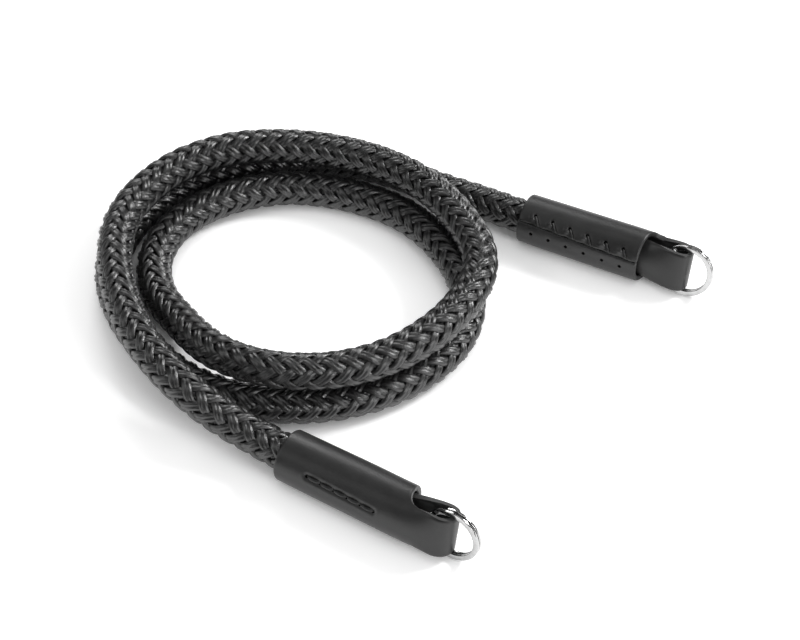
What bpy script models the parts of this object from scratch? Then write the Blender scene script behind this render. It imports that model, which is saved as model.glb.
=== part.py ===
"""Coiled camera strap: a braided rope with a folded leather end and a split ring at each end.

Metres, +Z up. The surface that the strap lies on is Z = 0. The origin is on that surface, in the
flat strip that the near leather end rests on, and +X is the way that this end points, to its ring.
"""
import math

import bmesh
import bpy
import numpy as np

MM = 0.001

# The rope, and the loose coil that it lies in
ROPE_DIAMETER = 12.0 * MM
ROPE_POINTS = 80
ROPE_BEVEL_RESOLUTION = 4
ROPE_LIFT = 0.03 * MM
COIL_CENTRE = (-49.3 * MM, 63.6 * MM)
COIL_HALF_WIDTH = 59.0 * MM
COIL_HALF_DEPTH = 52.0 * MM
COIL_TURNED = math.radians(32.4)
COIL_START = math.radians(45.0)
COIL_STEP = math.radians(24.0)

# Each row is one step further round the coil, from the far end's tail to the near end's tail.
# Columns: reach from the coil's centre, as a share of its half width and depth, and the height of
# the rope's middle, in rope diameters: 0.5 lies on the surface, and 1.53 lies on another pass.
COIL_STATIONS = (
    (1.206, 0.51),
    (1.185, 0.50),
    (1.168, 0.50),
    (1.145, 0.50),
    (1.118, 0.50),
    (1.075, 0.50),
    (1.003, 0.50),
    (0.972, 0.50),
    (1.010, 0.50),
    (1.035, 0.50),
    (1.042, 0.50),
    (1.036, 0.50),
    (1.012, 0.50),
    (0.945, 0.50),
    (0.880, 0.50),
    (0.865, 0.50),
    (0.864, 0.50),
    (0.890, 0.50),
    (0.897, 0.50),
    (0.882, 0.51),
    (0.834, 0.51),
    (0.765, 0.53),
    (0.733, 0.74),
    (0.828, 1.17),
    (0.950, 1.48),
    (1.000, 1.53),
    (1.002, 1.53),
    (1.003, 1.53),
    (1.019, 1.49),
    (0.980, 1.47),
    (0.985, 1.47),
    (1.007, 1.48),
    (1.045, 1.51),
    (1.095, 1.52),
    (1.077, 1.52),
    (1.030, 1.52),
    (0.988, 1.53),
    (1.030, 1.53),
    (1.160, 1.45),
)

# Where the rope runs between a leather end's mouth and the coil.
# Columns: way in front of the mouth, offset to the left of the end's heading, and height, all in
# rope diameters. The rows run from the coil to the mouth.
FAR_TAIL = (
    (1.53, 0.12, 0.53),
    (0.67, 0.03, 0.61),
)
NEAR_TAIL = (
    (2.95, -0.09, 1.31),
    (2.08, -0.10, 1.01),
    (1.12, 0.00, 0.73),
)

# The leather ends: one blank each, wrapped round the rope, with a tongue folded back through the ring
LEATHER = 1.8 * MM
ROPE_TO_LEATHER = 0.5 * MM
SEAM_GAP = 0.3 * MM
SLEEVE_LENGTH = 43.4 * MM
SCOOP_TO_FOLD = 11.0 * MM
SCOOP_ROUND = 6.0
TONGUE_TO_RING = 0.4 * MM
FOLD_REACH = 59.0 * MM
ROPE_IN_SLEEVE = 29.0 * MM
MOUTH_PRESS = 0.45 * MM
TIP_OVAL = 0.25
REST_FROM_MOUTH = 8.5 * MM

# The line of the tongue beyond the sleeve, seen from above.
# Columns: way from the sleeve's tip, as a share of the run from there to the fold, where less than 0
# is back inside the sleeve; offset from the middle, as a share of the leather wall's middle radius;
# and how far the strip is curled, 1 being as round as the sleeve.
TONGUE_LINE = (
    (0.245, 0.86, 0.90),
    (0.520, 0.74, 0.45),
    (0.726, 0.63, 0.10),
    (0.880, 0.42, 0.00),
    (0.948, 0.04, 0.00),
    (0.880, -0.34, 0.00),
    (0.726, -0.44, 0.02),
    (0.520, -0.42, 0.15),
    (0.245, -0.41, 0.60),
    (-0.029, -0.41, 1.10),
    (-0.303, -0.46, 1.40),
    (-0.509, -0.52, 1.50),
)

# Where each end lies: its mouth and heading, the side that its tongue starts on, and how far it is
# rolled over at the mouth and at the fold
FAR_MOUTH = (-0.1 * MM, 129.6 * MM)
FAR_HEADING = math.radians(5.1)
NEAR_HEADING = 0.0
TONGUE_ON_LEFT = 1.0
TONGUE_ON_RIGHT = -1.0
ROLL_AT_MOUTH = math.radians(33.0)
ROLL_AT_FOLD = math.radians(13.5)

# Mesh fineness of the leather
SLEEVE_ROWS = 16
TONGUE_ROWS = 26
TONGUE_COLUMNS = 8
WING_COLUMNS = 9
SECTION_STEPS = 64

# The split rings: two turns of flat wire
RING_DIAMETER = 18.0 * MM
WIRE_WIDTH = 1.8 * MM
WIRE_THICKNESS = 0.9 * MM
WIRE_SHOULDER = 0.65
TURN_GAP = 0.3 * MM
RING_STEP = math.radians(40.0)
RING_SEGMENTS = 36
RING_LIFT = 0.03 * MM
NEAR_RING_LEAN = math.radians(7.0)
FAR_RING_LEAN = math.radians(16.0)
NEAR_RING_JOG = math.radians(128.0)
FAR_RING_JOG = math.radians(118.0)

# Sizes that follow from those above
TONGUE_WIDTH = RING_DIAMETER - 2 * WIRE_WIDTH - 2 * TONGUE_TO_RING
ROPE_RADIUS = ROPE_DIAMETER / 2
WALL_RADIUS = ROPE_RADIUS + ROPE_TO_LEATHER + LEATHER / 2
GIRTH = 2 * math.pi * WALL_RADIUS
FOLD_RUN = FOLD_REACH - SLEEVE_LENGTH
SCOOP_LENGTH = FOLD_RUN - SCOOP_TO_FOLD
MOUTH_HEIGHT = WALL_RADIUS + LEATHER / 2 - MOUTH_PRESS
RING_RADIUS = RING_DIAMETER / 2
RING_REACH = FOLD_REACH - LEATHER / 2
NEAR_MOUTH = (-REST_FROM_MOUTH, 0.0)


def remove_old_objects():
    for old in list(bpy.data.objects):
        bpy.data.objects.remove(old, do_unlink=True)


def material(name, colour, roughness, metallic=0.0):
    """One Principled material."""
    finish = bpy.data.materials.new(name)
    finish.use_nodes = True
    shader = finish.node_tree.nodes["Principled BSDF"]
    shader.inputs["Base Color"].default_value = (*colour, 1.0)
    shader.inputs["Roughness"].default_value = roughness
    shader.inputs["Metallic"].default_value = metallic
    return finish


def spline_through(points, spots):
    """A natural cubic spline through the points, read at spots given as lengths along the chords."""
    points = np.asarray(points, float)
    knots = chord_lengths(points)
    gaps = np.diff(knots)
    count = len(points)
    matrix = np.eye(count)
    right = np.zeros_like(points)
    slopes = np.diff(points, axis=0) / gaps[:, None]
    for i in range(1, count - 1):
        matrix[i, i - 1:i + 2] = (gaps[i - 1], 2 * (gaps[i - 1] + gaps[i]), gaps[i])
        right[i] = 6 * (slopes[i] - slopes[i - 1])
    bends = np.linalg.solve(matrix, right)
    spots = np.clip(spots, 0.0, knots[-1])
    span = np.clip(np.searchsorted(knots, spots, side="right") - 1, 0, count - 2)
    gap = gaps[span][:, None]
    before = (spots - knots[span])[:, None]
    after = gap - before
    return (
        bends[span] * after ** 3 / (6 * gap)
        + bends[span + 1] * before ** 3 / (6 * gap)
        + (points[span] / gap - bends[span] * gap / 6) * after
        + (points[span + 1] / gap - bends[span + 1] * gap / 6) * before
    )


def chord_lengths(points):
    """The length along the straight chords at each point, from zero."""
    steps = np.linalg.norm(np.diff(points, axis=0), axis=1)
    return np.concatenate([[0.0], np.cumsum(steps)])


def even_points(points, count, fineness=40):
    """Evenly spaced points on the smooth curve through the given ones."""
    points = np.asarray(points, float)
    total = chord_lengths(points)[-1]
    fine = spline_through(points, np.linspace(0.0, total, count * fineness))
    lengths = chord_lengths(fine)
    wanted = np.linspace(0.0, lengths[-1], count)
    return np.stack([np.interp(wanted, lengths, fine[:, k]) for k in range(3)], axis=1)


def from_end(mouth, heading, along, left, height):
    """A point given in a leather end's own directions, in world metres."""
    x = mouth[0] + along * math.cos(heading) - left * math.sin(heading)
    y = mouth[1] + along * math.sin(heading) + left * math.cos(heading)
    return (x, y, height)


def axis_height(along, ring_height):
    """The height of an end's middle line, which climbs from the mouth to the ring."""
    return MOUTH_HEIGHT + (ring_height - MOUTH_HEIGHT) * along / RING_REACH


def ring_height(lean):
    return RING_RADIUS * math.cos(lean) + WIRE_THICKNESS * math.sin(lean) + RING_LIFT


def rope_in_end(mouth, heading, height_at_ring, tail):
    """The rope's points from the coil's side of a tail to its cut end inside the leather."""
    points = [
        from_end(mouth, heading, -ahead * ROPE_DIAMETER, left * ROPE_DIAMETER, lift * ROPE_DIAMETER)
        for ahead, left, lift in tail
    ]
    for share in (0.0, 0.5, 1.0):
        along = share * ROPE_IN_SLEEVE
        points.append(from_end(mouth, heading, along, 0.0, axis_height(along, height_at_ring)))
    return points


def coil_points():
    """The rope's points round the coil, from the far tail to the near tail."""
    points = []
    for step, (reach, lift) in enumerate(COIL_STATIONS):
        turn = COIL_START + step * COIL_STEP
        across = reach * COIL_HALF_WIDTH * math.cos(turn)
        deep = reach * COIL_HALF_DEPTH * math.sin(turn)
        points.append((
            COIL_CENTRE[0] + across * math.cos(COIL_TURNED) - deep * math.sin(COIL_TURNED),
            COIL_CENTRE[1] + across * math.sin(COIL_TURNED) + deep * math.cos(COIL_TURNED),
            lift * ROPE_DIAMETER + ROPE_LIFT,
        ))
    return points


def rope_route():
    """All of the rope's chosen points, from its end in the far leather to that in the near one."""
    far = rope_in_end(FAR_MOUTH, FAR_HEADING, ring_height(FAR_RING_LEAN), FAR_TAIL)
    near = rope_in_end(NEAR_MOUTH, NEAR_HEADING, ring_height(NEAR_RING_LEAN), NEAR_TAIL)
    return far[::-1] + coil_points() + near


def make_rope():
    """The rope as a plain round tube along its whole route."""
    curve = bpy.data.curves.new("rope", "CURVE")
    curve.dimensions = "3D"
    curve.bevel_depth = ROPE_RADIUS
    curve.bevel_resolution = ROPE_BEVEL_RESOLUTION
    curve.use_fill_caps = True
    line = curve.splines.new("POLY")
    line.points.add(ROPE_POINTS - 1)
    for spot, point in zip(line.points, even_points(rope_route(), ROPE_POINTS)):
        spot.co = (*point, 1.0)
    rope = bpy.data.objects.new("rope", curve)
    curve.materials.append(material("black rope", (0.018, 0.018, 0.020), 0.45))
    bpy.context.collection.objects.link(rope)


def section(reach_round, curl, oval):
    """Where a wrapped section lies at each length round it: depth inwards, height and direction."""
    spots = np.linspace(0.0, reach_round, SECTION_STEPS + 1)
    middles = (spots[1:] + spots[:-1]) / 2
    wave = oval * GIRTH / (4 * math.pi)
    turning = curl / WALL_RADIUS * (middles - wave * np.sin(4 * math.pi * middles / GIRTH))
    step = reach_round / SECTION_STEPS
    depth = float(np.sum(np.sin(turning)) * step)
    height = float(np.sum(np.cos(turning)) * step)
    direction = curl / WALL_RADIUS * (
        reach_round - wave * math.sin(4 * math.pi * reach_round / GIRTH)
    )
    return depth, height, direction


def sleeve_half_width(oval):
    """Half the width of the wrapped section's middle line."""
    depth, _, _ = section(GIRTH / 2, 1.0, oval)
    return depth / 2


class TongueLine:
    """The blank's middle line, from the mouth through the fold and back into the sleeve."""

    def __init__(self):
        rows = []
        for share in (0.0, 0.35, 0.7, 1.0):
            oval = TIP_OVAL * share
            rows.append((share * SLEEVE_LENGTH, sleeve_half_width(oval), 1.0, oval))
        for along, offset, curl in TONGUE_LINE:
            rows.append((SLEEVE_LENGTH + along * FOLD_RUN, offset * WALL_RADIUS, curl, TIP_OVAL))
        rows = np.array(rows)
        chords = chord_lengths(rows[:, :2])
        fine_spots = np.linspace(0.0, chords[-1], 800)
        line = np.column_stack([rows[:, :2], np.zeros(len(rows))])
        self.line = spline_through(line, fine_spots)[:, :2]
        self.lengths = chord_lengths(self.line)
        self.curl = np.interp(fine_spots, chords, rows[:, 2])
        self.oval = np.interp(fine_spots, chords, rows[:, 3])
        self.total = self.lengths[-1]
        self.tangent = np.gradient(self.line, axis=0)
        self.tangent /= np.linalg.norm(self.tangent, axis=1)[:, None]

    def at(self, length):
        """Place, tangent, curl and oval at a length along the blank."""
        place = [np.interp(length, self.lengths, self.line[:, k]) for k in range(2)]
        tangent = [np.interp(length, self.lengths, self.tangent[:, k]) for k in range(2)]
        curl = np.interp(length, self.lengths, self.curl)
        oval = np.interp(length, self.lengths, self.oval)
        return place, tangent, curl, oval


def cut_edge(spot):
    """How far along the blank its cut edge lies, at a length round from the tongue's middle."""
    wing = GIRTH / 2 - TONGUE_WIDTH / 2
    share = min(1.0, (GIRTH / 2 - abs(spot)) / wing)
    return SLEEVE_LENGTH + SCOOP_LENGTH * (1 - math.sqrt(max(0.0, 1 - share ** SCOOP_ROUND)))


def blank_columns():
    """Lengths round the blank at which its mesh has columns, from one seam edge to the other."""
    seam = (GIRTH - SEAM_GAP) / 2
    half = TONGUE_WIDTH / 2
    left = np.linspace(-seam, -half, WING_COLUMNS + 1)[:-1]
    middle = np.linspace(-half, half, TONGUE_COLUMNS + 1)
    right = np.linspace(half, seam, WING_COLUMNS + 1)[1:]
    return np.concatenate([left, middle, right])


def leather_point(line, length, spot, side, place):
    """A point on the outer and on the inner face of the leather, in world metres."""
    mouth, heading, height_at_ring, tongue_side = place
    (along, offset), (forward, sideways), curl, oval = line.at(length)
    depth, height, direction = section(abs(spot), curl, oval)
    height = math.copysign(height, spot)
    direction = math.copysign(direction, spot)
    inward = np.array([sideways, -forward])
    shift = side * LEATHER / 2
    plan = np.array([along, offset]) + inward * (depth - shift * math.cos(direction))
    up = height + shift * math.sin(direction)
    left = tongue_side * plan[1]
    roll = ROLL_AT_MOUTH + (ROLL_AT_FOLD - ROLL_AT_MOUTH) * plan[0] / FOLD_REACH
    rolled_left = left * math.cos(roll) + up * math.sin(roll)
    rolled_up = up * math.cos(roll) - left * math.sin(roll)
    world_height = axis_height(plan[0], height_at_ring) + rolled_up
    return from_end(mouth, heading, plan[0], rolled_left, max(0.0, world_height))


def make_leather_end(name, mouth, heading, ring_lean, tongue_side):
    """One leather blank as a closed body: outer face, inner face and the cut edge between them."""
    line = TongueLine()
    place = (mouth, heading, ring_height(ring_lean), tongue_side)
    columns = blank_columns()
    half = TONGUE_WIDTH / 2
    body = bmesh.new()
    grid = {}
    for j, spot in enumerate(columns):
        edge = cut_edge(spot)
        on_tongue = abs(spot) <= half * 1.0001
        rows = SLEEVE_ROWS + (TONGUE_ROWS if on_tongue else 0)
        for i in range(rows + 1):
            if i <= SLEEVE_ROWS:
                length = edge * i / SLEEVE_ROWS
            else:
                length = edge + (line.total - edge) * (i - SLEEVE_ROWS) / TONGUE_ROWS
            for side in (1, -1):
                grid[i, j, side] = body.verts.new(leather_point(line, length, spot, side, place))
    cells = [
        (i, j) for i in range(SLEEVE_ROWS + TONGUE_ROWS) for j in range(len(columns) - 1)
        if (i + 1, j, 1) in grid and (i + 1, j + 1, 1) in grid
    ]
    known = set(cells)
    for i, j in cells:
        for side in (1, -1):
            corners = [grid[i, j, side], grid[i, j + 1, side], grid[i + 1, j + 1, side], grid[i + 1, j, side]]
            body.faces.new(corners[::side])
        rims = (
            ((i - 1, j), (i, j), (i, j + 1)),
            ((i + 1, j), (i + 1, j + 1), (i + 1, j)),
            ((i, j - 1), (i + 1, j), (i, j)),
            ((i, j + 1), (i, j + 1), (i + 1, j + 1)),
        )
        for neighbour, start, stop in rims:
            if neighbour in known:
                continue
            body.faces.new([grid[(*start, 1)], grid[(*start, -1)], grid[(*stop, -1)], grid[(*stop, 1)]])
    bmesh.ops.recalc_face_normals(body, faces=body.faces)
    bmesh.ops.triangulate(body, faces=body.faces)
    return finish_mesh(name, body, material(f"{name} leather", (0.022, 0.022, 0.024), 0.5))


def finish_mesh(name, body, finish):
    """Turns the built body into an object that is shaded smooth but keeps its sharp edges."""
    mesh = bpy.data.meshes.new(name)
    body.to_mesh(mesh)
    body.free()
    mesh.materials.append(finish)
    mesh.shade_smooth()
    mesh.set_sharp_from_angle(angle=math.radians(35.0))
    thing = bpy.data.objects.new(name, mesh)
    bpy.context.collection.objects.link(thing)
    return thing


def wire_offset(turned):
    """The wire's place across the ring, at an angle from the start of its first turn."""
    pitch = WIRE_THICKNESS + TURN_GAP
    turn = 2 * math.pi - RING_STEP
    share = min(1.0, max(0.0, (turned - turn) / RING_STEP))
    return pitch * (share * share * (3 - 2 * share) - 0.5)


def make_split_ring(name, mouth, heading, lean, jog):
    """Two turns of flat wire, with one step across from the first turn to the second."""
    centre = from_end(mouth, heading, RING_REACH, 0.0, ring_height(lean))
    forward = np.array([math.cos(heading), math.sin(heading), 0.0])
    left = np.array([-math.sin(heading), math.cos(heading), 0.0])
    across = left * math.cos(lean) - np.array([0.0, 0.0, math.sin(lean)])
    upward = left * math.sin(lean) + np.array([0.0, 0.0, math.cos(lean)])
    half_width = WIRE_WIDTH / 2
    half_thick = WIRE_THICKNESS / 2
    outline = (
        (half_width, 0.0),
        (half_width * WIRE_SHOULDER, half_thick),
        (-half_width * WIRE_SHOULDER, half_thick),
        (-half_width, 0.0),
        (-half_width * WIRE_SHOULDER, -half_thick),
        (half_width * WIRE_SHOULDER, -half_thick),
    )
    swept = 4 * math.pi - RING_STEP
    count = round(swept / (2 * math.pi) * RING_SEGMENTS)
    middle_radius = RING_RADIUS - half_width
    body = bmesh.new()
    rings = []
    for i in range(count + 1):
        turned = swept * i / count
        angle = jog + RING_STEP / 2 + turned
        spoke = forward * math.cos(angle) + upward * math.sin(angle)
        rings.append([
            body.verts.new(centre + spoke * (middle_radius + out) + across * (wire_offset(turned) + over))
            for out, over in outline
        ])
    sides = len(outline)
    for first, second in zip(rings, rings[1:]):
        for k in range(sides):
            body.faces.new([first[k], first[(k + 1) % sides], second[(k + 1) % sides], second[k]])
    body.faces.new(rings[0][::-1])
    body.faces.new(rings[-1])
    bmesh.ops.recalc_face_normals(body, faces=body.faces)
    return finish_mesh(name, body, material(f"{name} steel", (0.72, 0.72, 0.74), 0.2, 1.0))


remove_old_objects()
make_rope()
make_leather_end("far_leather_end", FAR_MOUTH, FAR_HEADING, FAR_RING_LEAN, TONGUE_ON_LEFT)
make_leather_end("near_leather_end", NEAR_MOUTH, NEAR_HEADING, NEAR_RING_LEAN, TONGUE_ON_RIGHT)
make_split_ring("far_split_ring", FAR_MOUTH, FAR_HEADING, FAR_RING_LEAN, FAR_RING_JOG)
make_split_ring("near_split_ring", NEAR_MOUTH, NEAR_HEADING, NEAR_RING_LEAN, NEAR_RING_JOG)
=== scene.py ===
"""Looks of the coiled camera strap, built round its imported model."""

import math

import bmesh
import bpy
import numpy as np
from mathutils import Matrix, Vector


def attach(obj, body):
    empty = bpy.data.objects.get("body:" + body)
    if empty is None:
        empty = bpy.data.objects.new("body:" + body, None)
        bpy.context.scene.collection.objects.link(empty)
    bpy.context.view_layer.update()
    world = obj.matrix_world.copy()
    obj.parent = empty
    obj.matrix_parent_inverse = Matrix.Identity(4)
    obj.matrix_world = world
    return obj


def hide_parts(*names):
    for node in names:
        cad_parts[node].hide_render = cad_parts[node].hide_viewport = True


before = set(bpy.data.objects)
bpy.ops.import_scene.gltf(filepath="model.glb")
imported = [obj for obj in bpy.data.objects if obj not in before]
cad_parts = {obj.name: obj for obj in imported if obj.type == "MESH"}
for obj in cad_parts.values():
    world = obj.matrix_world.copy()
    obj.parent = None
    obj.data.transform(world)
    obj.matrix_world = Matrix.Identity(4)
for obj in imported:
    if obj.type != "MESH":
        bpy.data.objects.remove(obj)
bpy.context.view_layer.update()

# The camera stands in front of the near leather end and looks down over the coil, as a person
# standing at a table would.
CAMERA_AT = (0.2238, -0.3032, 0.4604)
CAMERA_AIM = (-0.01445, 0.0721, 0.0)
SENSOR_WIDTH = 36.0
LENS = 87.84


def placed(name, data):
    """A new object in the scene, from its mesh, curve, camera or light."""
    thing = bpy.data.objects.new(name, data)
    bpy.context.collection.objects.link(thing)
    return thing


def facing(here, aim):
    """The turn that points a camera or a light at its aim."""
    return (Vector(aim) - Vector(here)).to_track_quat("-Z", "Y").to_euler()


camera_data = bpy.data.cameras.new("camera")
camera_data.sensor_width = SENSOR_WIDTH
camera_data.lens = LENS
camera = placed("camera", camera_data)
camera.location = CAMERA_AT
camera.rotation_euler = facing(CAMERA_AT, CAMERA_AIM)
bpy.context.scene.camera = camera

# The rope: sixteen two-yarn strands of black filament, plaited two over and two under round a
# soft core. It lies in a loose coil of about two and a half turns, and both of its ends run
# 29 mm deep into the leather.
MM = 0.001
ROPE_DIAMETER = 12.0 * MM
ROPE_LIFT = 0.03 * MM
COIL_CENTRE = (-49.3 * MM, 63.6 * MM)
COIL_HALF_WIDTH = 59.0 * MM
COIL_HALF_DEPTH = 52.0 * MM
COIL_TURNED = math.radians(32.4)
COIL_START = math.radians(45.0)
COIL_STEP = math.radians(24.0)

# One row for each step round the coil: reach as a share of the half width and depth, and the
# height of the rope's middle in rope diameters.
COIL_STATIONS = (
    (1.206, 0.51), (1.185, 0.50), (1.168, 0.50), (1.145, 0.50), (1.118, 0.50), (1.075, 0.50),
    (1.003, 0.50), (0.972, 0.50), (1.010, 0.50), (1.035, 0.50), (1.042, 0.50), (1.036, 0.50),
    (1.012, 0.50), (0.945, 0.50), (0.880, 0.50), (0.865, 0.50), (0.864, 0.50), (0.890, 0.50),
    (0.897, 0.50), (0.882, 0.51), (0.834, 0.51), (0.765, 0.53), (0.733, 0.74), (0.828, 1.17),
    (0.950, 1.48), (1.000, 1.53), (1.002, 1.53), (1.003, 1.53), (1.019, 1.49), (0.980, 1.47),
    (0.985, 1.47), (1.007, 1.48), (1.045, 1.51), (1.095, 1.52), (1.077, 1.52), (1.030, 1.52),
    (0.988, 1.53), (1.030, 1.53), (1.160, 1.45),
)

# Between a leather mouth and the coil: way in front, offset to the left and height, in diameters
FAR_TAIL = ((1.53, 0.12, 0.53), (0.67, 0.03, 0.61))
NEAR_TAIL = ((2.95, -0.09, 1.31), (2.08, -0.10, 1.01), (1.12, 0.00, 0.73))

LEATHER = 1.8 * MM
ROPE_TO_LEATHER = 0.5 * MM
MOUTH_PRESS = 0.45 * MM
FOLD_REACH = 59.0 * MM
ROPE_IN_SLEEVE = 29.0 * MM
REST_FROM_MOUTH = 8.5 * MM
FAR_MOUTH = (-0.1 * MM, 129.6 * MM)
FAR_HEADING = math.radians(5.1)
NEAR_MOUTH = (-REST_FROM_MOUTH, 0.0)
NEAR_HEADING = 0.0
RING_DIAMETER = 18.0 * MM
WIRE_THICKNESS = 0.9 * MM
RING_LIFT = 0.03 * MM
NEAR_RING_LEAN = math.radians(7.0)
FAR_RING_LEAN = math.radians(16.0)
WALL_RADIUS = ROPE_DIAMETER / 2 + ROPE_TO_LEATHER + LEATHER / 2
MOUTH_HEIGHT = WALL_RADIUS + LEATHER / 2 - MOUTH_PRESS
RING_REACH = FOLD_REACH - LEATHER / 2
FINE_SPOTS = 4000


def chord_lengths(points):
    steps = np.linalg.norm(np.diff(points, axis=0), axis=1)
    return np.concatenate([[0.0], np.cumsum(steps)])


def spline_through(points, spots):
    """A natural cubic spline through the points, read at lengths along their chords."""
    points = np.asarray(points, float)
    knots = chord_lengths(points)
    gaps = np.diff(knots)
    count = len(points)
    matrix = np.eye(count)
    right = np.zeros_like(points)
    slopes = np.diff(points, axis=0) / gaps[:, None]
    for i in range(1, count - 1):
        matrix[i, i - 1:i + 2] = (gaps[i - 1], 2 * (gaps[i - 1] + gaps[i]), gaps[i])
        right[i] = 6 * (slopes[i] - slopes[i - 1])
    bends = np.linalg.solve(matrix, right)
    spots = np.clip(spots, 0.0, knots[-1])
    span = np.clip(np.searchsorted(knots, spots, side="right") - 1, 0, count - 2)
    gap = gaps[span][:, None]
    before = (spots - knots[span])[:, None]
    after = gap - before
    return (
        bends[span] * after ** 3 / (6 * gap)
        + bends[span + 1] * before ** 3 / (6 * gap)
        + (points[span] / gap - bends[span] * gap / 6) * after
        + (points[span + 1] / gap - bends[span + 1] * gap / 6) * before
    )


def even_points(points, count):
    """Evenly spaced points on the smooth curve through the given ones."""
    points = np.asarray(points, float)
    fine = spline_through(points, np.linspace(0.0, chord_lengths(points)[-1], FINE_SPOTS))
    lengths = chord_lengths(fine)
    wanted = np.linspace(0.0, lengths[-1], count)
    return np.stack([np.interp(wanted, lengths, fine[:, k]) for k in range(3)], axis=1)


def from_end(mouth, heading, along, left, height):
    """A point given in a leather end's own directions, in world metres."""
    x = mouth[0] + along * math.cos(heading) - left * math.sin(heading)
    y = mouth[1] + along * math.sin(heading) + left * math.cos(heading)
    return (x, y, height)


def ring_height(lean):
    return RING_DIAMETER / 2 * math.cos(lean) + WIRE_THICKNESS * math.sin(lean) + RING_LIFT


def axis_height(along, height_at_ring):
    return MOUTH_HEIGHT + (height_at_ring - MOUTH_HEIGHT) * along / RING_REACH


def rope_in_end(mouth, heading, lean, tail):
    points = [
        from_end(mouth, heading, -ahead * ROPE_DIAMETER, left * ROPE_DIAMETER, lift * ROPE_DIAMETER)
        for ahead, left, lift in tail
    ]
    for share in (0.0, 0.5, 1.0):
        along = share * ROPE_IN_SLEEVE
        points.append(from_end(mouth, heading, along, 0.0, axis_height(along, ring_height(lean))))
    return points


def rope_route():
    """The rope's chosen points, from its end in the far leather to that in the near one."""
    coil = []
    for step, (reach, lift) in enumerate(COIL_STATIONS):
        turn = COIL_START + step * COIL_STEP
        across = reach * COIL_HALF_WIDTH * math.cos(turn)
        deep = reach * COIL_HALF_DEPTH * math.sin(turn)
        coil.append((
            COIL_CENTRE[0] + across * math.cos(COIL_TURNED) - deep * math.sin(COIL_TURNED),
            COIL_CENTRE[1] + across * math.sin(COIL_TURNED) + deep * math.cos(COIL_TURNED),
            lift * ROPE_DIAMETER + ROPE_LIFT,
        ))
    far = rope_in_end(FAR_MOUTH, FAR_HEADING, FAR_RING_LEAN, FAR_TAIL)
    near = rope_in_end(NEAR_MOUTH, NEAR_HEADING, NEAR_RING_LEAN, NEAR_TAIL)
    return far[::-1] + coil + near


# The plait. A strand climbs once round the rope in one lay, and rides over two and under two.
LAY = 3.75 * ROPE_DIAMETER
STRANDS_EACH_WAY = 8
WAVES_IN_A_LAY = STRANDS_EACH_WAY // 2
WAVE_START = -math.pi / 4
WAVE_FULLNESS = 0.22
STEPS_IN_A_WAVE = 16
STRAND_SWAY = math.radians(4.4)
STRAND_MIDDLE = 4.62 * MM
STRAND_WAVE = 0.72 * MM
STRAND_HALF_WIDTH = 1.62 * MM
STRAND_THICKNESS = 1.36 * MM
CORE_RADIUS = 4.40 * MM
CORE_SMOOTHNESS = 4
CORE_SPOTS = 300
STRANDS_IN_A_PIECE = 4
CHANCE_SEED = 16

# How much a hand-laid strand wanders, each with the steps from one random knot to the next
TURN_WAVER = math.radians(2.2)
TURN_WAVER_STEPS = 37
REACH_WAVER = 0.08 * MM
REACH_WAVER_STEPS = 9
WIDTH_WAVER = 0.08
WIDTH_WAVER_STEPS = 19

# A strand's section, seen along it: across in half widths and up in thicknesses. The top shows
# its two yarns.
STRAND_SECTION = (
    (-0.74, -0.50), (-0.98, -0.22), (-0.86, 0.14), (-0.52, 0.44), (-0.18, 0.44), (0.02, 0.24),
    (0.20, 0.46), (0.52, 0.42), (0.86, 0.10), (1.00, -0.24), (0.74, -0.50),
)


def carried_frames(line):
    """Two directions across the line at each point, carried along it without twisting."""
    tangent = np.gradient(line, axis=0)
    tangent /= np.linalg.norm(tangent, axis=1)[:, None]
    side = np.empty_like(line)
    side[0] = np.cross(tangent[0], (0.0, 0.0, 1.0))
    side[0] /= np.linalg.norm(side[0])
    for i in range(1, len(line)):
        carried = side[i - 1] - tangent[i] * np.dot(side[i - 1], tangent[i])
        side[i] = carried / np.linalg.norm(carried)
    return tangent, side, np.cross(side, tangent)


def slow_waver(chance, count, spacing):
    """A smooth random line between about -1 and 1."""
    knots = np.arange(0, count + spacing, spacing)
    return np.interp(np.arange(count), knots, chance.uniform(-1.0, 1.0, len(knots)))


def strand_points(line, side, up, lengths, way, number, chance):
    """The section points of one strand at each step along the rope."""
    start = 2 * math.pi * number / STRANDS_EACH_WAY
    waver = slow_waver(chance, len(line), TURN_WAVER_STEPS)
    turned = start + way * 2 * math.pi * lengths / LAY + TURN_WAVER * waver
    phase = WAVES_IN_A_LAY * turned + WAVE_START
    wave = np.cos(phase) * way
    wave = wave * (1 + WAVE_FULLNESS - WAVE_FULLNESS * wave * wave)
    waver = slow_waver(chance, len(line), REACH_WAVER_STEPS)
    reach = STRAND_MIDDLE + STRAND_WAVE * wave + REACH_WAVER * waver
    turned = turned + way * STRAND_SWAY * np.sin(phase)
    outward = side * np.cos(turned)[:, None] + up * np.sin(turned)[:, None]
    middle = line + outward * reach[:, None]
    forward = np.gradient(middle, axis=0)
    forward /= np.linalg.norm(forward, axis=1)[:, None]
    across = np.cross(outward, forward)
    across /= np.linalg.norm(across, axis=1)[:, None]
    upward = np.cross(forward, across)
    waver = slow_waver(chance, len(line), WIDTH_WAVER_STEPS)
    width = STRAND_HALF_WIDTH * (1 + WIDTH_WAVER * waver)
    section = np.array(STRAND_SECTION)
    return (
        middle[:, None]
        + across[:, None] * (section[None, :, 0] * width[:, None])[:, :, None]
        + upward[:, None] * (section[None, :, 1] * STRAND_THICKNESS)[:, :, None]
    )


YARN_SHIFT = (5.3, 17.9)


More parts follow.
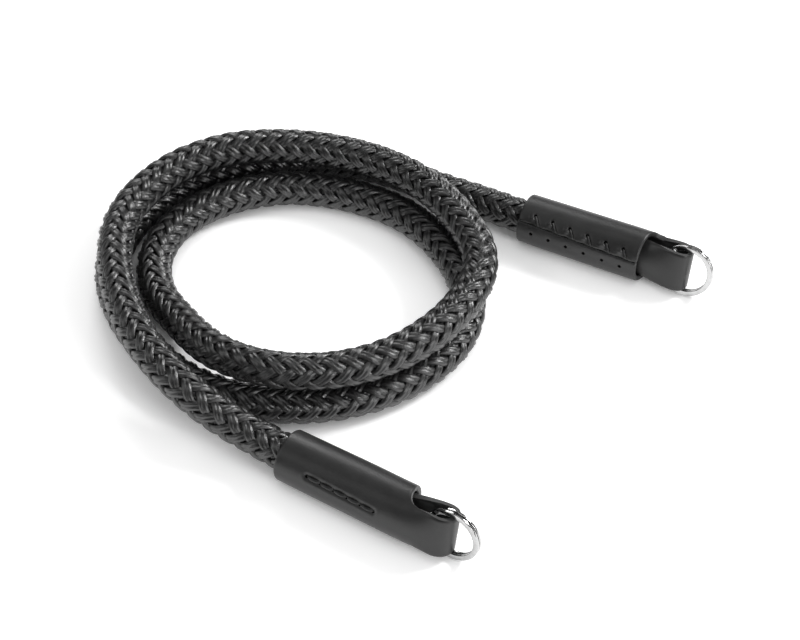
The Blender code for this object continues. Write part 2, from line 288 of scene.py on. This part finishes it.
def swept_mesh(name, strands, lengths):
    """One mesh of several closed strands, with a UV map in millimetres round and along them."""
    sides = len(STRAND_SECTION)
    rows = len(lengths)
    corners = np.array(STRAND_SECTION) * (STRAND_HALF_WIDTH, STRAND_THICKNESS)
    around = chord_lengths(np.vstack([corners, corners[:1]])) / MM
    along = lengths / MM * math.hypot(1.0, 2 * math.pi * STRAND_MIDDLE / LAY)
    verts = np.concatenate([points.reshape(-1, 3) for points in strands])
    i, k = np.meshgrid(np.arange(rows - 1), np.arange(sides), indexing="ij")
    after = (k + 1) % sides
    first = i * sides
    quad = np.stack([first + k, first + after, first + sides + after, first + sides + k], axis=-1)
    uv = np.stack([
        np.stack([around[k], along[i]], axis=-1), np.stack([around[k + 1], along[i]], axis=-1),
        np.stack([around[k + 1], along[i + 1]], axis=-1), np.stack([around[k], along[i + 1]], axis=-1),
    ], axis=-2)
    faces = []
    for number in range(len(strands)):
        base = number * rows * sides
        faces.extend((quad.reshape(-1, 4) + base).tolist())
        faces.append([base + j for j in range(sides)][::-1])
        faces.append([base + (rows - 1) * sides + j for j in range(sides)])
    mesh = bpy.data.meshes.new(name)
    mesh.from_pydata(verts.tolist(), [], faces)
    layer = mesh.uv_layers.new(name="yarn")
    one = np.concatenate([uv.reshape(-1, 2), np.zeros((2 * sides, 2))])
    shifted = [one + np.array(YARN_SHIFT) * number for number in range(len(strands))]
    layer.data.foreach_set("uv", np.concatenate(shifted).ravel())
    mesh.shade_smooth()
    return mesh


def new_material(name):
    finish = bpy.data.materials.new(name)
    finish.use_nodes = True
    return finish, finish.node_tree, finish.node_tree.nodes["Principled BSDF"]


def node(tree, kind, links=(), **values):
    """A shader node with its settings, input values and incoming links."""
    made = tree.nodes.new(kind)
    for key, value in values.items():
        setattr(made, key, value)
    for socket, source in links:
        if hasattr(source, "links"):
            tree.links.new(source, made.inputs[socket])
        else:
            made.inputs[socket].default_value = source
    return made


def noise(tree, vector, scale, detail=2.0, roughness=0.5):
    """A cloudy pattern read at a place or on a map."""
    return node(tree, "ShaderNodeTexNoise", [
        ("Vector", vector), ("Scale", scale), ("Detail", detail), ("Roughness", roughness),
    ]).outputs["Fac"]


PATTERN_SPAN = (0.3, 0.7)


def feed(tree, shader, socket, pattern, low, high):
    """Feeds a shader's socket with grey levels that follow a pattern, from low to high."""
    made = node(tree, "ShaderNodeValToRGB", [("Fac", pattern)])
    for element, place, grey in zip(made.color_ramp.elements, PATTERN_SPAN, (low, high)):
        element.position = place
        element.color = (grey, grey, grey, 1.0)
    tree.links.new(made.outputs["Color"], shader.inputs[socket])


def relief(tree, shader, height, strength, depth):
    """Fine relief on a shader's surface, from a pattern's height."""
    made = node(tree, "ShaderNodeBump", [
        ("Height", height), ("Strength", strength), ("Distance", depth),
    ])
    tree.links.new(made.outputs["Normal"], shader.inputs["Normal"])


def filament_group():
    """Fine filaments that run along a yarn, from its UV map in millimetres."""
    tree = bpy.data.node_groups.new("filaments", "ShaderNodeTree")
    face = tree.interface
    face.new_socket("Vector", in_out="INPUT", socket_type="NodeSocketVector")
    face.new_socket("Across", in_out="INPUT", socket_type="NodeSocketFloat")
    face.new_socket("Along", in_out="INPUT", socket_type="NodeSocketFloat")
    face.new_socket("Height", in_out="OUTPUT", socket_type="NodeSocketFloat")
    face.new_socket("Shade", in_out="OUTPUT", socket_type="NodeSocketFloat")
    given = tree.nodes.new("NodeGroupInput")
    result = tree.nodes.new("NodeGroupOutput")
    pull = node(tree, "ShaderNodeCombineXYZ", [
        ("X", given.outputs["Across"]), ("Y", given.outputs["Along"]), ("Z", 1.0),
    ])
    stretched = node(tree, "ShaderNodeVectorMath", [
        (0, given.outputs["Vector"]), (1, pull.outputs["Vector"]),
    ], operation="MULTIPLY")
    pulled = stretched.outputs["Vector"]
    tree.links.new(noise(tree, pulled, scale=1.0, detail=3.0, roughness=0.6), result.inputs["Height"])
    tree.links.new(noise(tree, pulled, scale=0.23), result.inputs["Shade"])
    return tree


filaments = filament_group()


def yarn_material():
    finish, tree, shader = new_material("black filament yarn")
    uv = node(tree, "ShaderNodeUVMap", uv_map="yarn")
    lines = node(tree, "ShaderNodeGroup", node_tree=filaments)
    tree.links.new(uv.outputs["UV"], lines.inputs["Vector"])
    lines.inputs["Across"].default_value = 6.5
    lines.inputs["Along"].default_value = 0.55
    feed(tree, shader, "Base Color", lines.outputs["Shade"], low=0.004, high=0.012)
    feed(tree, shader, "Roughness", lines.outputs["Height"], low=0.24, high=0.38)
    relief(tree, shader, lines.outputs["Height"], strength=0.7, depth=0.12 * MM)
    shader.inputs["Specular IOR Level"].default_value = 1.0
    return finish


def core_material():
    finish, tree, shader = new_material("black rope core")
    place = node(tree, "ShaderNodeTexCoord")
    fuzz = noise(tree, place.outputs["Object"], scale=1800.0)
    feed(tree, shader, "Base Color", fuzz, low=0.002, high=0.006)
    shader.inputs["Roughness"].default_value = 0.9
    return finish


def round_cord(name, runs, radius, smoothness, finish):
    """A round cord along each run of points, as one curve with closed ends."""
    curve = bpy.data.curves.new(name, "CURVE")
    curve.dimensions = "3D"
    curve.bevel_depth = radius
    curve.bevel_resolution = smoothness
    curve.use_fill_caps = True
    for run in runs:
        spline = curve.splines.new("POLY")
        spline.points.add(len(run) - 1)
        for spot, point in zip(spline.points, run):
            spot.co = (*point, 1.0)
    curve.materials.append(finish)
    return placed(name, curve)


LENGTH_SPOTS = 1200


def make_rope():
    """The core, the strands round it in a few pieces, and the rope's length."""
    route = rope_route()
    total = chord_lengths(even_points(route, LENGTH_SPOTS))[-1]
    steps = round(total / (LAY / WAVES_IN_A_LAY) * STEPS_IN_A_WAVE)
    line = even_points(route, steps + 1)
    lengths = np.linspace(0.0, total, steps + 1)
    _, side, up = carried_frames(line)
    chance = np.random.default_rng(CHANCE_SEED)
    strands = [
        strand_points(line, side, up, lengths, way, number, chance)
        for way in (1, -1) for number in range(STRANDS_EACH_WAY)
    ]
    yarn = yarn_material()
    plait = []
    for first in range(0, len(strands), STRANDS_IN_A_PIECE):
        name = f"rope_strands_{first // STRANDS_IN_A_PIECE + 1}"
        mesh = swept_mesh(name, strands[first:first + STRANDS_IN_A_PIECE], lengths)
        mesh.materials.append(yarn)
        plait.append(placed(name, mesh))
    middle = even_points(route, CORE_SPOTS)
    core = round_cord("rope_core", [middle], CORE_RADIUS, CORE_SMOOTHNESS, core_material())
    return core, plait, total


rope_core, rope_plait, rope_length = make_rope()
for piece in (rope_core, *rope_plait):
    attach(piece, "root")
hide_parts("rope")

# The leather ends: each is one blank of smooth black leather, rolled round the rope and laced
# shut along its seam, with a tongue that is cut in one with it. The tongue folds through the ring
# and back into the sleeve, where a row of thick stitches holds it.
SEAM_GAP = 0.3 * MM
SLEEVE_LENGTH = 43.4 * MM
FOLD_RUN = FOLD_REACH - SLEEVE_LENGTH
SCOOP_TO_FOLD = 11.0 * MM
SCOOP_LENGTH = FOLD_RUN - SCOOP_TO_FOLD
SCOOP_ROUND = 6.0
WIRE_WIDTH = 1.8 * MM
TONGUE_TO_RING = 0.4 * MM
TONGUE_WIDTH = RING_DIAMETER - 2 * WIRE_WIDTH - 2 * TONGUE_TO_RING
TIP_OVAL = 0.25
GIRTH = 2 * math.pi * WALL_RADIUS
ROLL_AT_MOUTH = math.radians(33.0)
ROLL_AT_FOLD = math.radians(13.5)
TONGUE_ON_LEFT = 1.0
TONGUE_ON_RIGHT = -1.0
SECTION_STEPS = 64
SLEEVE_SHARES = (0.0, 0.35, 0.7, 1.0)
TONGUE_LINE_SPOTS = 800

# The tongue's line beyond the sleeve, from above: way from the sleeve's tip as a share of the run
# to the fold, offset as a share of the wall's middle radius, and curl, 1 being as round as the sleeve.
TONGUE_LINE = (
    (0.245, 0.86, 0.90), (0.520, 0.74, 0.45), (0.726, 0.63, 0.10), (0.880, 0.42, 0.00),
    (0.948, 0.04, 0.00), (0.880, -0.34, 0.00), (0.726, -0.44, 0.02), (0.520, -0.42, 0.15),
    (0.245, -0.41, 0.60), (-0.029, -0.41, 1.10), (-0.303, -0.46, 1.40), (-0.509, -0.52, 1.50),
)


def section(reach_round, curl, oval):
    """Where a wrapped section lies at each length round it: depth inwards, height and direction."""
    spots = np.linspace(0.0, reach_round, SECTION_STEPS + 1)
    middles = (spots[1:] + spots[:-1]) / 2
    wave = oval * GIRTH / (4 * math.pi)
    turning = curl / WALL_RADIUS * (middles - wave * np.sin(4 * math.pi * middles / GIRTH))
    step = reach_round / SECTION_STEPS
    direction = curl / WALL_RADIUS * (
        reach_round - wave * math.sin(4 * math.pi * reach_round / GIRTH)
    )
    return float(np.sum(np.sin(turning)) * step), float(np.sum(np.cos(turning)) * step), direction


class TongueLine:
    """The blank's middle line, from the mouth through the fold and back into the sleeve."""

    def __init__(self):
        rows = []
        for share in SLEEVE_SHARES:
            oval = TIP_OVAL * share
            rows.append((share * SLEEVE_LENGTH, section(GIRTH / 2, 1.0, oval)[0] / 2, 1.0, oval))
        for along, offset, curl in TONGUE_LINE:
            rows.append((SLEEVE_LENGTH + along * FOLD_RUN, offset * WALL_RADIUS, curl, TIP_OVAL))
        rows = np.array(rows)
        chords = chord_lengths(rows[:, :2])
        spots = np.linspace(0.0, chords[-1], TONGUE_LINE_SPOTS)
        self.line = spline_through(np.column_stack([rows[:, :2], np.zeros(len(rows))]), spots)[:, :2]
        self.lengths = chord_lengths(self.line)
        self.total = self.lengths[-1]
        self.curl = np.interp(spots, chords, rows[:, 2])
        self.oval = np.interp(spots, chords, rows[:, 3])
        self.tangent = np.gradient(self.line, axis=0)
        self.tangent /= np.linalg.norm(self.tangent, axis=1)[:, None]

    def at(self, length):
        place = [np.interp(length, self.lengths, self.line[:, k]) for k in range(2)]
        tangent = [np.interp(length, self.lengths, self.tangent[:, k]) for k in range(2)]
        curl = np.interp(length, self.lengths, self.curl)
        return place, tangent, curl, np.interp(length, self.lengths, self.oval)


tongue_line = TongueLine()


def leather_spot(end, length, spot, lift):
    """A point on the leather, lifted from its middle, at a length along and round the blank."""
    mouth, heading, height_at_ring, tongue_side = end
    (along, offset), (forward, sideways), curl, oval = tongue_line.at(length)
    depth, height, direction = section(abs(spot), curl, oval)
    height = math.copysign(height, spot)
    direction = math.copysign(direction, spot)
    inward = np.array([sideways, -forward])
    plan = np.array([along, offset]) + inward * (depth - lift * math.cos(direction))
    up = height + lift * math.sin(direction)
    left = tongue_side * plan[1]
    roll = ROLL_AT_MOUTH + (ROLL_AT_FOLD - ROLL_AT_MOUTH) * plan[0] / FOLD_REACH
    rolled_left = left * math.cos(roll) + up * math.sin(roll)
    rolled_up = up * math.cos(roll) - left * math.sin(roll)
    world_height = axis_height(plan[0], height_at_ring) + rolled_up
    return Vector(from_end(mouth, heading, plan[0], rolled_left, world_height))


# Holes: six for the stitches along the tongue's middle, and six on each side of the seam.
HOLE_ROWS_FROM_SEAM = 3.0 * MM
STITCH_START = 11.4 * MM
STITCH_PITCH = 4.7 * MM
LACE_START = 5.4 * MM
LACE_PITCH = 6.4 * MM
HOLES_IN_A_ROW = 6
STITCH_HOLE = 0.62 * MM
LACE_HOLE = 0.62 * MM
PUNCH_REACH = 0.9 * LEATHER
PUNCH_SIDES = 14
LACE_RUN = 2.3 * MM
stitch_holes = [(STITCH_START + i * STITCH_PITCH, 0.0) for i in range(HOLES_IN_A_ROW)]
upper_holes = [
    (LACE_START + i * LACE_PITCH, GIRTH / 2 - HOLE_ROWS_FROM_SEAM) for i in range(HOLES_IN_A_ROW)
]
lower_holes = [
    (LACE_START + i * LACE_PITCH, HOLE_ROWS_FROM_SEAM - GIRTH / 2) for i in range(HOLES_IN_A_ROW)
]


def near_segment(length, spot, start, stop):
    """The distance from a spot on the blank to a straight run between two others."""
    here = np.array([length, spot])
    start = np.array(start)
    run = np.array(stop) - start
    share = min(1.0, max(0.0, float(np.dot(here - start, run) / np.dot(run, run))))
    return float(np.linalg.norm(here - start - run * share))


# What the pulled thread does to the leather: how deep or high, and how wide.
GROOVE_DEPTH = 0.42 * MM
GROOVE_WIDTH = 0.95 * MM
GROOVE_LIP = 0.06 * MM
LIP_FROM_GROOVE = 1.7 * MM
LIP_WIDTH = 0.5 * MM
GROOVE_REACH = 2.5 * MM
SEAM_REACH = 5.5 * MM
LACE_REACH = 5.0 * MM
LACE_DENT = 0.34 * MM
LACE_DENT_WIDTH = 0.60 * MM
SWELL = 0.60 * MM
SWELL_WIDTH = 0.80 * MM
SWELL_BEFORE_HOLE = 0.8 * MM
SWELL_PAST_HOLE = 0.9 * MM
RIPPLE = 0.26 * MM
RIPPLE_WIDTH = 1.8 * MM
RIPPLE_START = 2.6
HOLE_DENT = 0.14 * MM
HOLE_DENT_WIDTH = 0.9 * MM


def hump(distance, width, power=2):
    """One at the middle, falling away smoothly over the width."""
    return math.exp(-(distance / width) ** power)


def pressed(length, spot):
    """How far the leather is pushed out or in where thread pulls on it."""
    lift = 0.0
    gap = near_segment(length, spot, stitch_holes[0], stitch_holes[-1])
    if gap < GROOVE_REACH:
        lift -= GROOVE_DEPTH * hump(gap, GROOVE_WIDTH, power=4)
        lift += GROOVE_LIP * hump(gap - LIP_FROM_GROOVE, LIP_WIDTH)
    if spot > GIRTH / 2 - SEAM_REACH and length < SLEEVE_LENGTH:
        for hole in upper_holes:
            if abs(length - hole[0]) > LACE_REACH:
                continue
            gap = near_segment(length, spot, hole, (hole[0] + LACE_RUN, GIRTH / 2))
            lift -= LACE_DENT * hump(gap, LACE_DENT_WIDTH)
            gap = math.hypot(length - hole[0] + SWELL_BEFORE_HOLE, spot - hole[1] - SWELL_PAST_HOLE)
            lift += SWELL * hump(gap, SWELL_WIDTH)
        ripple = math.cos(2 * math.pi * (length - LACE_START) / LACE_PITCH - RIPPLE_START)
        lift += RIPPLE * ripple * hump(GIRTH / 2 - spot, RIPPLE_WIDTH)
    if spot < SEAM_REACH - GIRTH / 2 and length < SLEEVE_LENGTH:
        for hole in lower_holes:
            gap = math.hypot(length - hole[0], spot - hole[1])
            lift -= HOLE_DENT * hump(gap, HOLE_DENT_WIDTH)
    return lift


WING_COLUMNS = 52
TONGUE_COLUMNS = 26
SLEEVE_ROWS = 120
TONGUE_ROWS = 80
EDGE_ROUND = 0.26 * MM
COLUMN_SLACK = 0.01 * MM
SHARP_FOLD = math.radians(50.0)


def cut_edge(spot):
    """How far along the blank its cut edge lies, at a length round from the tongue's middle."""
    wing = GIRTH / 2 - TONGUE_WIDTH / 2
    share = min(1.0, (GIRTH / 2 - abs(spot)) / wing)
    return SLEEVE_LENGTH + SCOOP_LENGTH * (1 - math.sqrt(max(0.0, 1 - share ** SCOOP_ROUND)))


def blank_columns():
    seam = (GIRTH - SEAM_GAP) / 2
    half = TONGUE_WIDTH / 2
    left = np.linspace(-seam, -half, WING_COLUMNS + 1)[:-1]
    right = np.linspace(half, seam, WING_COLUMNS + 1)[1:]
    return np.concatenate([left, np.linspace(-half, half, TONGUE_COLUMNS + 1), right])


def mesh_from(body, name, finishes):
    """The finished mesh of a bmesh, with its materials."""
    mesh = bpy.data.meshes.new(name)
    body.to_mesh(mesh)
    body.free()
    for finish in finishes:
        mesh.materials.append(finish)
    return mesh


def punch(thing, end):
    """Cuts the stitch and lace holes straight through the outer wall."""
    cutters = bmesh.new()
    rows = ((stitch_holes, STITCH_HOLE), (upper_holes, LACE_HOLE), (lower_holes, LACE_HOLE))
    for holes, radius in rows:
        for length, spot in holes:
            inner = leather_spot(end, length, spot, -PUNCH_REACH)
            outer = leather_spot(end, length, spot, PUNCH_REACH)
            turn = (outer - inner).to_track_quat("Z", "Y").to_matrix().to_4x4()
            place = Matrix.Translation((inner + outer) / 2) @ turn
            bmesh.ops.create_cone(
                cutters, cap_ends=True, segments=PUNCH_SIDES, radius1=radius, radius2=radius,
                depth=(outer - inner).length, matrix=place,
            )
    tool = placed("punch", mesh_from(cutters, "punch", []))
    cut = thing.modifiers.new("holes", "BOOLEAN")
    cut.operation = "DIFFERENCE"
    cut.solver = "EXACT"
    cut.object = tool
    graph = bpy.context.evaluated_depsgraph_get()
    punched = bpy.data.meshes.new_from_object(thing.evaluated_get(graph))
    thing.modifiers.clear()
    whole = thing.data
    thing.data = punched
    bpy.data.meshes.remove(whole)
    punched.name = thing.name
    bpy.data.objects.remove(tool, do_unlink=True)


def make_leather(name, end, faces, edges):
    """The flat blank as a grid, given its thickness, shaped round the rope and punched."""
    columns = blank_columns()
    half = TONGUE_WIDTH / 2
    rows = SLEEVE_ROWS + TONGUE_ROWS
    body = bmesh.new()
    bmesh.ops.create_grid(body, x_segments=len(columns) - 1, y_segments=rows, size=1.0)

    def place(corner):
        column = round((corner.co.x + 1) / 2 * (len(columns) - 1))
        return column, round((corner.co.y + 1) / 2 * rows)

    def out(corner):
        return abs(columns[place(corner)[0]])

    beyond = [
        face for face in body.faces
        if min(out(corner) for corner in face.verts) > half - COLUMN_SLACK
        and max(out(corner) for corner in face.verts) > half + COLUMN_SLACK
        and max(place(corner)[1] for corner in face.verts) > SLEEVE_ROWS
    ]
    bmesh.ops.delete(body, geom=beyond, context="FACES")
    rim = {place(corner) for edge in body.edges if edge.is_boundary for corner in edge.verts}
    grown = bmesh.ops.extrude_face_region(body, geom=body.faces[:], use_keep_orig=True)
    outer = {item for item in grown["geom"] if isinstance(item, bmesh.types.BMVert)}
    for face in body.faces:
        corners_outside = sum(corner in outer for corner in face.verts)
        face.material_index = int(0 < corners_outside < len(face.verts))
    for corner in body.verts:
        column, row = place(corner)
        spot = columns[column]
        edge = cut_edge(spot)
        if row <= SLEEVE_ROWS:
            length = edge * row / SLEEVE_ROWS
        else:
            length = edge + (tongue_line.total - edge) * (row - SLEEVE_ROWS) / TONGUE_ROWS
        reach = LEATHER / 2 - (EDGE_ROUND if (column, row) in rim else 0.0)
        lift = pressed(length, spot) + (reach if corner in outer else -reach)
        corner.co = leather_spot(end, length, spot, lift)
        corner.co.z = max(corner.co.z, 0.0)
    bmesh.ops.recalc_face_normals(body, faces=body.faces)
    if body.calc_volume(signed=True) < 0:
        bmesh.ops.reverse_faces(body, faces=body.faces)
    thing = placed(name, mesh_from(body, name, [faces, edges]))
    punch(thing, end)
    thing.data.shade_smooth()
    thing.data.set_sharp_from_angle(angle=SHARP_FOLD)
    return thing


def grain_group():
    """Fine leather grain and slow unevenness, from a place in metres."""
    tree = bpy.data.node_groups.new("leather grain", "ShaderNodeTree")
    face = tree.interface
    face.new_socket("Vector", in_out="INPUT", socket_type="NodeSocketVector")
    face.new_socket("Grain size", in_out="INPUT", socket_type="NodeSocketFloat")
    face.new_socket("Height", in_out="OUTPUT", socket_type="NodeSocketFloat")
    face.new_socket("Scuff", in_out="OUTPUT", socket_type="NodeSocketFloat")
    given = tree.nodes.new("NodeGroupInput")
    result = tree.nodes.new("NodeGroupOutput")
    pores = node(tree, "ShaderNodeTexVoronoi", [
        ("Vector", given.outputs["Vector"]), ("Scale", given.outputs["Grain size"]),
        ("Randomness", 1.0),
    ], feature="SMOOTH_F1")
    creases = noise(tree, given.outputs["Vector"], scale=900.0, detail=4.0, roughness=0.65)
    both = node(tree, "ShaderNodeMath", [
        (0, pores.outputs["Distance"]), (1, creases),
    ], operation="ADD")
    tree.links.new(both.outputs["Value"], result.inputs["Height"])
    scuff = noise(tree, given.outputs["Vector"], scale=160.0, detail=5.0, roughness=0.6)
    tree.links.new(scuff, result.inputs["Scuff"])
    return tree


leather_grain = grain_group()


def leather_material(name, dark, light, smooth, dull, depth):
    finish, tree, shader = new_material(name)
    place = node(tree, "ShaderNodeTexCoord")
    grain = node(tree, "ShaderNodeGroup", node_tree=leather_grain)
    tree.links.new(place.outputs["Object"], grain.inputs["Vector"])
    grain.inputs["Grain size"].default_value = 2600.0
    feed(tree, shader, "Base Color", grain.outputs["Scuff"], low=dark, high=light)
    feed(tree, shader, "Roughness", grain.outputs["Scuff"], low=smooth, high=dull)
    relief(tree, shader, grain.outputs["Height"], strength=0.5, depth=depth)
    return finish


leather_face = leather_material(
    "smooth black leather", dark=0.016, light=0.024, smooth=0.38, dull=0.46, depth=0.03 * MM,
)
leather_edge = leather_material(
    "cut leather edge", dark=0.035, light=0.070, smooth=0.55, dull=0.68, depth=0.08 * MM,
)
FAR_END = (FAR_MOUTH, FAR_HEADING, ring_height(FAR_RING_LEAN), TONGUE_ON_LEFT)
NEAR_END = (NEAR_MOUTH, NEAR_HEADING, ring_height(NEAR_RING_LEAN), TONGUE_ON_RIGHT)
for label, end in (("far", FAR_END), ("near", NEAR_END)):
    leather = make_leather(f"{label}_leather", end, leather_face, leather_edge)
    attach(leather, "root")
    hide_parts(f"{label}_leather_end")

# The thread: waxed black thread, thick in the row of stitches that holds the tongue, thinner
# where it laces the seam. Each stitch dips into its holes.
STITCH_THREAD = 0.64 * MM
LACE_THREAD = 0.40 * MM
THREAD_SMOOTHNESS = 3
THREAD_SPOTS = 14

# One thread's path: way from hole to hole as a share, and height over the leather's middle in mm.
STITCH_PATH = ((0.02, -0.6), (0.13, 0.15), (0.32, 0.58), (0.68, 0.58), (0.87, 0.15), (0.98, -0.6))
LACE_PATH = ((0.0, -0.4), (0.14, 0.75), (0.45, 0.85), (0.80, 0.80), (0.97, 0.1))


def thread_material():
    finish, tree, shader = new_material("waxed black thread")
    place = node(tree, "ShaderNodeTexCoord")
    twist = noise(tree, place.outputs["Object"], scale=2500.0, detail=3.0)
    feed(tree, shader, "Base Color", twist, low=0.008, high=0.022)
    shader.inputs["Roughness"].default_value = 0.5
    relief(tree, shader, twist, strength=0.5, depth=0.08 * MM)
    return finish


def stitch_runs(end):
    """From hole to hole along the tongue, sunk at both ends."""
    runs = []
    for (start, spot), (stop, _) in zip(stitch_holes, stitch_holes[1:]):
        runs.append([
            leather_spot(end, start + share * (stop - start), spot, lift * MM)
            for share, lift in STITCH_PATH
        ])
    return runs


def lace_runs(end):
    """From each upper hole slantwise over the seam's upper edge and down into the seam."""
    runs = []
    for length, spot in upper_holes:
        runs.append([
            leather_spot(
                end, length + share * LACE_RUN, spot + share * HOLE_ROWS_FROM_SEAM, lift * MM,
            )
            for share, lift in LACE_PATH
        ])
    return runs


black_thread = thread_material()
for label, end in (("far", FAR_END), ("near", NEAR_END)):
    for kind, runs, radius in (
        ("stitches", stitch_runs(end), STITCH_THREAD), ("lacing", lace_runs(end), LACE_THREAD),
    ):
        smooth = [even_points([tuple(point) for point in run], THREAD_SPOTS) for run in runs]
        thread = round_cord(f"{label}_{kind}", smooth, radius, THREAD_SMOOTHNESS, black_thread)
        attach(thread, "root")

# The split rings: two turns of flat polished steel wire each, wound so that one end lies on
# the other turn. The tongue's fold runs through the ring.
TURN_GAP = 0.3 * MM
RING_STEP = math.radians(40.0)
NEAR_RING_JOG = math.radians(128.0)
FAR_RING_JOG = math.radians(118.0)
WIRE_EDGE_ROUND = 0.26 * MM
WIRE_EDGE_STEPS = 4
STEPS_IN_A_TURN = 96
LEAST_STEPS = 4
SHARP_WIRE = math.radians(40.0)


def make_ring(name, end, lean, jog, finish):
    """The wire's rounded section, spun one turn, stepped across and spun the second turn."""
    mouth, heading, height, _ = end
    middle_radius = RING_DIAMETER / 2 - WIRE_WIDTH / 2
    body = bmesh.new()
    bmesh.ops.create_grid(body, x_segments=1, y_segments=1, size=0.5)
    bmesh.ops.scale(body, vec=(WIRE_WIDTH, WIRE_THICKNESS, 1.0), verts=body.verts)
    bmesh.ops.bevel(
        body, geom=body.verts[:], offset=WIRE_EDGE_ROUND, segments=WIRE_EDGE_STEPS, profile=0.5,
        affect="VERTICES", material=-1,
    )
    bmesh.ops.translate(body, vec=(middle_radius, 0.0, 0.0), verts=body.verts)
    bmesh.ops.delete(body, geom=body.faces[:], context="FACES_ONLY")
    pitch = WIRE_THICKNESS + TURN_GAP
    bmesh.ops.translate(body, vec=(0.0, -pitch / 2, 0.0), verts=body.verts)
    start = -(jog + RING_STEP / 2)
    bmesh.ops.rotate(body, cent=(0, 0, 0), matrix=Matrix.Rotation(start, 3, "Y"), verts=body.verts)
    last = body.verts[:] + body.edges[:]
    turn = 2 * math.pi - RING_STEP
    for angle, across in ((turn, 0.0), (RING_STEP, pitch), (turn, 0.0)):
        steps = max(LEAST_STEPS, round(angle / (2 * math.pi) * STEPS_IN_A_TURN))
        spun = bmesh.ops.spin(
            body, geom=last, cent=(0, 0, 0), axis=(0, -1, 0), dvec=(0.0, across / steps, 0.0),
            angle=angle, steps=steps, use_merge=False, use_normal_flip=False, use_duplicate=False,
        )
        last = spun["geom_last"]
    ends = [edge for edge in body.edges if edge.is_boundary]
    bmesh.ops.holes_fill(body, edges=ends, sides=0)
    bmesh.ops.recalc_face_normals(body, faces=body.faces)
    centre = Vector(from_end(mouth, heading, RING_REACH, 0.0, height))
    turned = Matrix.Rotation(heading, 4, "Z") @ Matrix.Rotation(-lean, 4, "X")
    bmesh.ops.transform(body, matrix=Matrix.Translation(centre) @ turned, verts=body.verts)
    mesh = mesh_from(body, name, [finish])
    mesh.shade_smooth()
    mesh.set_sharp_from_angle(angle=SHARP_WIRE)
    return placed(name, mesh)


def steel_material():
    finish, tree, shader = new_material("polished steel")
    place = node(tree, "ShaderNodeTexCoord")
    rub = noise(tree, place.outputs["Object"], scale=700.0, detail=4.0)
    feed(tree, shader, "Base Color", rub, low=0.44, high=0.54)
    feed(tree, shader, "Roughness", rub, low=0.10, high=0.22)
    shader.inputs["Metallic"].default_value = 1.0
    relief(tree, shader, rub, strength=0.15, depth=0.02 * MM)
    return finish


steel = steel_material()
for label, end, lean, jog in (
    ("far", FAR_END, FAR_RING_LEAN, FAR_RING_JOG), ("near", NEAR_END, NEAR_RING_LEAN, NEAR_RING_JOG),
):
    ring = make_ring(f"{label}_ring", end, lean, jog, steel)
    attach(ring, "root")
    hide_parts(f"{label}_split_ring")

# The room: a plain white table that the strap lies on, under large soft lights. The main
# light stands on the right, so the soft shadows fall to the left. The top also glows a little,
# which is painted light that lifts its cast shadows. Ambient occlusion dims that glow near the
# strap, which is painted contact shade on the table.
FLOOR_HALF = 2.0
PAINTED_SHADE_REACH = 30 * MM
VIEW_TURN = math.radians(32.4)


def floor_material_with_painted_shade():
    finish, tree, shader = new_material("white table top with painted glow and shade")
    place = node(tree, "ShaderNodeTexCoord")
    tone = noise(tree, place.outputs["Object"], scale=40.0, detail=3.0)
    feed(tree, shader, "Base Color", tone, low=0.90, high=0.92)
    shader.inputs["Roughness"].default_value = 0.7
    shader.inputs["Specular IOR Level"].default_value = 0.2
    # Painted light and shade: the top glows at strength 0.70 to lift its shadows, and ambient
    # occlusion darkens the glow where the strap lies close.
    near = node(tree, "ShaderNodeAmbientOcclusion", [("Distance", PAINTED_SHADE_REACH)], samples=8)
    tree.links.new(near.outputs["Color"], shader.inputs["Emission Color"])
    shader.inputs["Emission Strength"].default_value = 0.70
    return finish


table = bmesh.new()
bmesh.ops.create_grid(table, x_segments=1, y_segments=1, size=FLOOR_HALF)
table_top = placed("table_top", mesh_from(table, "table_top", [floor_material_with_painted_shade()]))


def soft_light(name, right, away, high, width, power):
    """A square light that faces the coil, placed by the camera's right and away, in metres."""
    data = bpy.data.lights.new(name, "AREA")
    data.shape = "SQUARE"
    data.size = width
    data.energy = power
    light = placed(name, data)
    x = right * math.cos(VIEW_TURN) - away * math.sin(VIEW_TURN)
    y = right * math.sin(VIEW_TURN) + away * math.cos(VIEW_TURN)
    light.location = (x + CAMERA_AIM[0], y + CAMERA_AIM[1], high)
    light.rotation_euler = facing(light.location, CAMERA_AIM)


soft_light("right light", right=1.2, away=0.5, high=1.0, width=0.45, power=21.0)
soft_light("back light", right=-0.2, away=1.3, high=0.9, width=0.6, power=8.5)
soft_light("top light", right=0.0, away=-0.2, high=1.6, width=0.8, power=3.0)
soft_light("left light", right=-1.4, away=-0.3, high=1.0, width=0.8, power=4.0)
soft_light("front light", right=0.5, away=-0.6, high=0.4, width=0.3, power=2.4)
white_room = bpy.data.worlds.new("white room")
white_room.use_nodes = True
sky = white_room.node_tree.nodes["Background"]
sky.inputs["Color"].default_value = (1.0, 1.0, 1.0, 1.0)
sky.inputs["Strength"].default_value = 0.08
bpy.context.scene.world = white_room
bpy.context.scene.view_settings.view_transform = "Standard"
